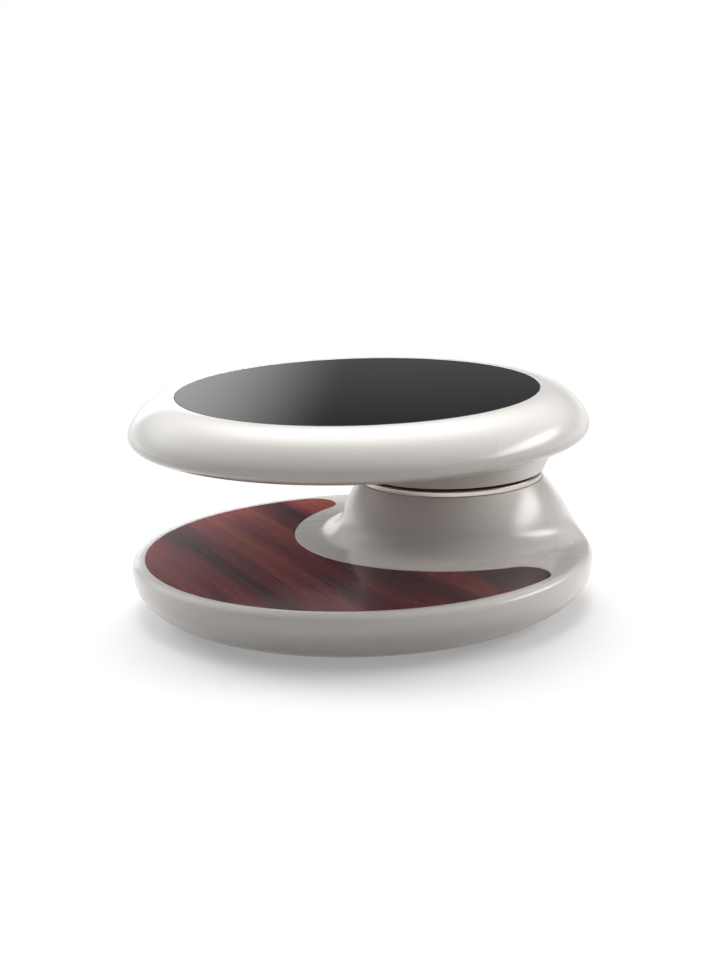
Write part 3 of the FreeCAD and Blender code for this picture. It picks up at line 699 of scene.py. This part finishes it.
def makeUnderShell(look):
    radius, joint, flat = look["radius"], look["joint"], look["flat"]
    underside, bottom = look["underside"], look["neckBottom"]
    shell = {**shellLook, "profileBlend": look["ledgeBlend"]}
    f = np.linspace(0, 1, look["wallPoints"])
    spread = look["neckRadius"] + look["neckFlare"] * f
    wall = hollowWall(spread, 0 * f, bottom + (underside - bottom) * f, look["hollow"], shell)
    rise = (joint - bottom) * look["neckReach"]

    # Outer side of the neck, which runs out into the rim
    def side(turn, level):
        t = np.clip((level - bottom) / rise, 0, 1)
        swell = look["neckBulge"] * np.sin(math.pi * t)
        circle = (look["neckRadius"] + look["neckStep"]) * (1 - t) + look["neckRim"] * t + swell
        return reach(turn, -swivelX * t, circle)

    leaving = flat + (radius - flat) * look["flatHandle"]
    arriving = joint - (joint - underside) * look["jointHandle"]
    start, end = (flat, underside), (radius, joint)
    rim = bezier(start, (leaving, underside), (radius, arriving), end, look["rimPoints"])
    return flowingShell("topUnderShell", wall, side, rim, look["insideDisc"], look["insideNeck"], shell)


underMesh = outward(makeUnderShell(topLook), shellLook["sharp"])
addPiece("topUnderShell", underMesh, "top", "white_lacquer", "top_under_shell")


# New geometry tree, with the identifiers of its inputs and their wires
def newTree(name, inputs):
    tree = bpy.data.node_groups.new(name, "GeometryNodeTree")
    labels = {}
    for label, kind in inputs.items():
        socket = tree.interface.new_socket(label, in_out="INPUT", socket_type="NodeSocket" + kind)
        labels[label] = socket.identifier
    tree.interface.new_socket("Mesh", in_out="OUTPUT", socket_type="NodeSocketGeometry")
    entry = tree.nodes.new("NodeGroupInput")
    return tree, labels, [Wire(tree, entry.outputs[label]) for label in inputs]


# Last nodes of a geometry tree: real geometry that wears its finish
def closeTree(shape, finish):
    real = shape.add("GeometryNodeRealizeInstances", {}, {0: shape})
    done = real.add("GeometryNodeSetMaterial", {}, {"Geometry": real, "Material": finish})
    feed(shape.tree.nodes.new("NodeGroupOutput"), {0: done})


# A half section's points carried through a tree into a mesh
def treeMesh(name, section, tree, labels, values):
    mesh = bpy.data.meshes.new(name + "Section")
    mesh.from_pydata([(r, 0, z) for r, z in section], [], [])
    carrier = newObject(name + "Carrier", mesh)
    modifier = carrier.modifiers.new("shape", "NODES")
    modifier.node_group = tree
    for label, value in values.items():
        modifier[labels[label]] = value
    return evaluated(carrier)


# Tree that turns a half section about an upright axis
spinLook = {"weld": 1e-6, "cornerSteps": 6, "cornerHold": 0.4}


def makeSpinTree(look):
    inputs = {"Section": "Geometry", "Steps": "Int", "Centre X": "Float", "Finish": "Material"}
    tree, labels, (section, steps, centre, finish) = newTree("spinSection", inputs)
    count = section.add("GeometryNodeAttributeDomainSize", {"component": "MESH"}, {0: section})
    around = count + 1
    sheet = section.add("GeometryNodeMeshGrid", {}, {"Vertices X": steps + 1, "Vertices Y": around})
    index = section.add("GeometryNodeInputIndex")
    column = (index / around).maths("FLOOR")
    row = (index % around) % count
    spot = section.add("GeometryNodeInputPosition")
    taken = section.add("GeometryNodeSampleIndex", {"data_type": "FLOAT_VECTOR", "domain": "POINT"},
                        {"Geometry": section, "Value": spot, "Index": row})
    radius = section.add("ShaderNodeSeparateXYZ", {}, {0: taken})
    height = radius.other("Z")
    angle = column / steps * (2 * math.pi)
    x = radius * angle.maths("COSINE") + centre
    y = radius * angle.maths("SINE")
    turned = section.add("ShaderNodeCombineXYZ", {}, {0: x, 1: y, 2: height})
    moved = section.add("GeometryNodeSetPosition", {}, {"Geometry": sheet, "Position": turned})
    welded = section.add("GeometryNodeMergeByDistance", {}, {"Geometry": moved, "Distance": look["weld"]})
    closeTree(welded, finish)
    return tree, labels


spinTree, spinLabels = makeSpinTree(spinLook)


def spun(name, section, steps, centreX, slot):
    values = {"Steps": steps, "Centre X": centreX, "Finish": finishes[slot]}
    return treeMesh(name, section, spinTree, spinLabels, values)


# Closed half section with its corners rounded, from rows of radius, height and rounding
def roundedSection(corners):
    points = []
    for i, (r, z, size) in enumerate(corners):
        here = np.array([r, z])
        if size <= 0:
            points.append(here)
            continue
        before = np.array(corners[i - 1][:2]) - here
        after = np.array(corners[(i + 1) % len(corners)][:2]) - here
        start = here + unit(before) * size
        end = here + unit(after) * size
        leaving = start + (here - start) * roundHandle
        arriving = end + (here - end) * roundHandle
        points.append(start + (start - here) * spinLook["cornerHold"])
        points.extend(bezier(start, leaving, arriving, end, spinLook["cornerSteps"]))
        points.append(end + (end - here) * spinLook["cornerHold"])
    return np.array(points)


# Upper shell of the top: the white rim round the glass, with the ledge that carries it
bezelLook = {
    "radius": topLook["radius"],
    "joint": topLook["joint"],
    "height": 0.380,
    "opening": 0.313,
    "crownHandle": 0.7,
    "jointHandle": 0.18,
    "lip": 0.0008,
    "lipIn": 0.25,
    "lipDown": 0.3,
    "hidden": [
        (0.375, 0.320), (0.375, 0.325), (0.3865, 0.3252), (0.378, 0.340), (0.352, 0.360),
        (0.328, 0.3665), (0.291, 0.3666), (0.291, 0.3716), (0.313, 0.3716),
    ],
    "skinPoints": 110,
    "steps": 400,
    "sharp": 50,
}


def makeBezel(look):
    radius, joint, height = look["radius"], look["joint"], look["height"]
    opening, lip = look["opening"], look["lip"]
    crown = opening + (radius - opening) * look["crownHandle"]
    cheek = joint + (height - joint) * look["jointHandle"]
    start, end = (opening + lip, height), (radius, joint)
    skin = bezier(start, (crown, height), (radius, cheek), end, look["skinPoints"])
    edge = [(opening, height - lip), (opening + lip * look["lipIn"], height - lip * look["lipDown"])]
    section = np.concatenate([skin, look["hidden"], edge])
    return outward(spun("topBezel", section, look["steps"], 0.0, "white_lacquer"), look["sharp"])


addPiece("topBezel", makeBezel(bezelLook), "top", "white_lacquer", "top_bezel")

# Glass with polished arrises
glassPiece = {"radius": 0.312, "top": 0.3796, "bottom": 0.3736, "arris": 0.0009, "steps": 360, "sharp": 40}


def makeGlassTop(look):
    section = roundedSection([
        (0.0, look["bottom"], 0), (look["radius"], look["bottom"], look["arris"]),
        (look["radius"], look["top"], look["arris"]), (0.0, look["top"], 0),
    ])
    return outward(spun("glassTop", section, look["steps"], 0.0, "black_glass"), look["sharp"])


addPiece("glassTop", makeGlassTop(glassPiece), "top", "black_glass", "glass_top")

# Polished ring over a shadow groove
ringPiece = {
    "bore": 0.152,
    "radius": 0.1635,
    "low": 0.1945,
    "high": 0.2055,
    "groove": 0.0018,
    "depth": 0.0035,
    "chamfer": 0.0018,
    "hiddenRound": 0.0003,
    "edgeRound": 0.0006,
    "chamferLow": 0.0008,
    "chamferHigh": 0.0007,
    "steps": 288,
    "sharp": 40,
}


def makeTrimRing(look):
    bore, radius, low, high = look["bore"], look["radius"], look["low"], look["high"]
    hidden, step, back = look["hiddenRound"], low + look["groove"], radius - look["depth"]
    section = roundedSection([
        (bore, low, hidden), (back, low, hidden), (back, step, hidden), (radius, step, look["edgeRound"]),
        (radius, high - look["chamfer"], look["chamferLow"]),
        (radius - look["chamfer"], high, look["chamferHigh"]),
        (bore, high, look["edgeRound"]),
    ])
    return outward(spun("trimRing", section, look["steps"], swivelX, "polished_ring"), look["sharp"])


addPiece("trimRing", makeTrimRing(ringPiece), "base", "polished_ring", "trim_ring")

# Black ring behind the polished one, which fills the gap
shieldPiece = {
    "bore": 0.142,
    "radius": 0.151,
    "low": 0.1945,
    "high": 0.2083,
    "hiddenRound": 0.0003,
    "round": 0.0012,
    "steps": 288,
    "sharp": 40,
}


def makeGapShield(look):
    bore, radius, low, high = look["bore"], look["radius"], look["low"], look["high"]
    section = roundedSection([
        (bore, low, look["hiddenRound"]), (radius, low, look["hiddenRound"]),
        (radius, high, look["round"]), (bore, high, look["round"]),
    ])
    return outward(spun("gapShield", section, look["steps"], swivelX, "black_plastic"), look["sharp"])


addPiece("gapShield", makeGapShield(shieldPiece), "base", "black_plastic", "gap_shield")

# Glides under the base: one turned foot set round a circle
glidePiece = {
    "count": 6,
    "circle": 0.262,
    "radius": 0.020,
    "height": 0.005,
    "bore": 0.00365,
    "seat": 0.00265,
    "shank": 0.00215,
    "fineRound": 0.0004,
    "treadRound": 0.0014,
    "steps": 64,
    "sharp": 40,
}


def makeCircleTree():
    inputs = {
        "Section": "Geometry", "Steps": "Int", "Count": "Int",
        "Circle": "Float", "First angle": "Float", "Finish": "Material",
    }
    tree, labels, wires = newTree("setRoundCircle", inputs)
    section, steps, count, circle, first, finish = wires
    turning = {"Section": section, "Steps": steps, "Finish": finish}
    foot = section.add("GeometryNodeGroup", {"node_tree": spinTree}, turning)
    ring = {"Vertices": count, "Radius": circle}
    spots = section.add("GeometryNodeMeshCircle", {"fill_type": "NONE"}, ring)
    angle = section.add("ShaderNodeCombineXYZ", {}, {2: first})
    turnedSpots = section.add("GeometryNodeTransform", {}, {"Geometry": spots, "Rotation": angle})
    copies = section.add("GeometryNodeInstanceOnPoints", {}, {"Points": turnedSpots, "Instance": foot})
    closeTree(copies, finish)
    return tree, labels


def makeGlides(look):
    section = roundedSection([
        (look["bore"], 0.0, look["fineRound"]), (look["radius"], 0.0, look["treadRound"]),
        (look["radius"], look["height"], look["fineRound"]), (look["shank"], look["height"], 0),
        (look["shank"], look["seat"], 0), (look["bore"], look["seat"], 0),
    ])
    values = {
        "Steps": look["steps"], "Count": look["count"], "Circle": look["circle"],
        "First angle": math.pi / look["count"], "Finish": finishes["grey_nylon"],
    }
    return outward(treeMesh("glide", section, *makeCircleTree(), values), look["sharp"])


addPiece("footGlides", makeGlides(glidePiece), "base", "grey_nylon", "foot_glides")


# Whether a ray comes from the camera, from a reflection or through something clear
def rayKinds(start):
    path = start.add("ShaderNodeLightPath")
    return [path.other(name) for name in ("Is Camera Ray", "Is Glossy Ray", "Is Transmission Ray")]


# Floor: pale, with the table's shadow near it and plain white further out.
# From below it lets the view through.
floorLook = {
    "size": 30.0,
    "drop": 0.0003,
    "pale": (0.86, 0.86, 0.86),
    "bounce": (0.35, 0.325, 0.305),
    "lift": 0.3,
    "near": 0.38,
    "far": 0.72,
    "mirrored": 0.8,
}


def makeFloor(look):
    half, level = look["size"] / 2, -look["drop"]
    mesh = bpy.data.meshes.new("floor")
    corners = [(-half, -half, level), (half, -half, level), (half, half, level), (-half, half, level)]
    mesh.from_pydata(corners, [], [(0, 1, 2, 3)])
    material = bpy.data.materials.new("paleFloor")
    material.use_nodes = True
    tree = material.node_tree
    tree.nodes.clear()
    start = Wire(tree)
    camera, glossy, through = rayKinds(start)
    seen = camera.maths("MAXIMUM", glossy).maths("MAXIMUM", through)
    away = start.add("ShaderNodeTexCoord", out="Object").vector("LENGTH", out="Value")
    whiteness = away.eased(look["near"], look["far"]) * (1 - look["lift"]) + look["lift"]
    pale = start.add("ShaderNodeBsdfDiffuse", {}, {"Color": seen.blend(look["bounce"], look["pale"])})
    strength = camera * (1 - look["mirrored"]) + look["mirrored"]
    white = start.add("ShaderNodeEmission", {}, {"Color": (1, 1, 1, 1), "Strength": strength})
    mixed = start.add("ShaderNodeMixShader", {}, {0: seen * whiteness, 1: pale, 2: white})
    clear = start.add("ShaderNodeBsdfTransparent")
    below = start.add("ShaderNodeNewGeometry", out="Backfacing")
    oneSided = start.add("ShaderNodeMixShader", {}, {0: below, 1: mixed, 2: clear})
    feed(tree.nodes.new("ShaderNodeOutputMaterial"), {"Surface": oneSided})
    mesh.materials.append(material)
    floor = newObject("floor", mesh)


makeFloor(floorLook)

# Air round the table: white where it is seen.
# Reflections meet the same white at the horizon, dimmer air above it and a soft glow at the back.
worldLook = {
    "level": 0.17,
    "tint": (1.0, 0.975, 0.955),
    "mirrored": [
        (0.0, 0.85), (1.0, 0.30), (0.06, 0.60), (0.13, 0.26),
        (0.165, 0.17), (0.205, 0.06), (0.32, 0.05), (0.45, 0.20),
    ],
    "glowAim": (0.341, 0.936, 0.087),
    "glowEdge": math.cos(math.radians(15)),
    "glowCore": math.cos(math.radians(9)),
}


def makeWorld(look):
    world = bpy.data.worlds.new("studio")
    bpy.context.scene.world = world
    world.use_nodes = True
    tree = world.node_tree
    tree.nodes.clear()
    start = Wire(tree)
    camera, glossy, through = rayKinds(start)
    aim = start.add("ShaderNodeTexCoord", out="Generated")
    height = start.add("ShaderNodeSeparateXYZ", {}, {0: aim}, out="Z")
    stops = [(spot, (level, level, level)) for spot, level in look["mirrored"]]
    ramp = start.add("ShaderNodeValToRGB", {"stops": stops}, {"Fac": height})
    near = aim.vector("DOT_PRODUCT", look["glowAim"], out="Value")
    mirrored = near.eased(look["glowEdge"], look["glowCore"]).blend(ramp, (1, 1, 1))
    plain = tuple(look["level"] * c for c in look["tint"])
    air = camera.blend(glossy.maths("MAXIMUM", through).blend(plain, mirrored), (1, 1, 1))
    back = start.add("ShaderNodeBackground", {}, {"Color": air, "Strength": 1.0})
    feed(tree.nodes.new("ShaderNodeOutputWorld"), {"Surface": back})


makeWorld(worldLook)

# Soft boxes, each brightest in the middle and fading to its edges.
# Those that aren't mirrored light the table without showing in its gloss.
lampLooks = {
    "overhead": {
        "at": (0.55, 0.75, 2.9), "aim": (0, 0, 0.3), "size": (5.0, 4.4), "watts": 130.0,
        "tint": (1.0, 0.985, 0.965), "core": 0.2, "mirrored": True,
    },
    "overheadFill": {
        "at": (0.55, 0.75, 3.0), "aim": (0, 0, 0.3), "size": (5.0, 4.4), "watts": 285.0,
        "tint": (1.0, 0.985, 0.965), "core": 0.2, "mirrored": False,
    },
    "window": {
        "at": (2.15, -1.4, 1.42), "aim": (0.2, 0.0, 0.2), "size": (3.6, 0.9), "watts": 48.0,
        "tint": (1.0, 0.97, 0.95), "core": 0.25, "mirrored": True,
    },
    "windowFill": {
        "at": (2.3, -1.2, 1.2), "aim": (0.2, 0.0, 0.2), "size": (3.0, 1.6), "watts": 54.0,
        "tint": (1.0, 0.965, 0.945), "core": 0.4, "mirrored": False,
    },
    "frontFill": {
        "at": (-0.9, -1.2, 3.0), "aim": (0, 0, 0.15), "size": (2.4, 1.8), "watts": 30.0,
        "tint": (1.0, 0.99, 0.98), "core": 0.5, "mirrored": False,
    },
    "leftBack": {
        "at": (-1.0, 2.95, 1.45), "aim": (-0.1, 0.0, 0.1), "size": (2.8, 1.5), "watts": 150.0,
        "tint": (0.94, 0.98, 1.0), "core": 0.6, "mirrored": False,
    },
}
lampMiddle = (0.5, 0.5, 0.0)


def makeLamps(looks):
    for name, look in looks.items():
        lamp = bpy.data.lights.new(name, "AREA")
        lamp.shape = "RECTANGLE"
        lamp.size, lamp.size_y = look["size"]
        lamp.energy = look["watts"]
        lamp.color = look["tint"]
        lamp.use_nodes = True
        spot = Wire(lamp.node_tree).add("ShaderNodeNewGeometry", out="Parametric")
        away = spot.vector("SUBTRACT", lampMiddle).vector("LENGTH", out="Value") * 2
        feed(lamp.node_tree.nodes["Emission"], {"Strength": 1 - away.eased(look["core"], 1.0)})
        holder = newObject(name, lamp)
        holder.location = look["at"]
        holder.visible_camera = False
        holder.visible_glossy = look["mirrored"]
        ahead = Vector(look["aim"]) - Vector(look["at"])
        holder.rotation_euler = ahead.to_track_quat("-Z", "Y").to_euler()


makeLamps(lampLooks)

# Camera at the photograph's angle, tipped by its small roll
cameraLook = {
    "at": (-1.787, -2.610, 0.969),
    "aim": (0.0, 0.0, 0.219),
    "lens": 70.3,
    "sensor": 36.0,
    "roll": math.radians(1.767),
}


def makeCamera(look):
    data = bpy.data.cameras.new("camera")
    data.lens = look["lens"]
    data.sensor_width = look["sensor"]
    camera = newObject("camera", data)
    ahead = (Vector(look["aim"]) - Vector(look["at"])).normalized()
    right = ahead.cross(Vector((0, 0, 1))).normalized()
    up = right.cross(ahead)
    across = right * math.cos(look["roll"]) - up * math.sin(look["roll"])
    turn = Matrix((across, (-ahead).cross(across), -ahead)).transposed()
    camera.matrix_world = Matrix.Translation(look["at"]) @ turn.to_4x4()
    bpy.context.scene.camera = camera


makeCamera(cameraLook)
bpy.context.scene.view_settings.view_transform = "Standard"
print("stage, lamps and camera set")
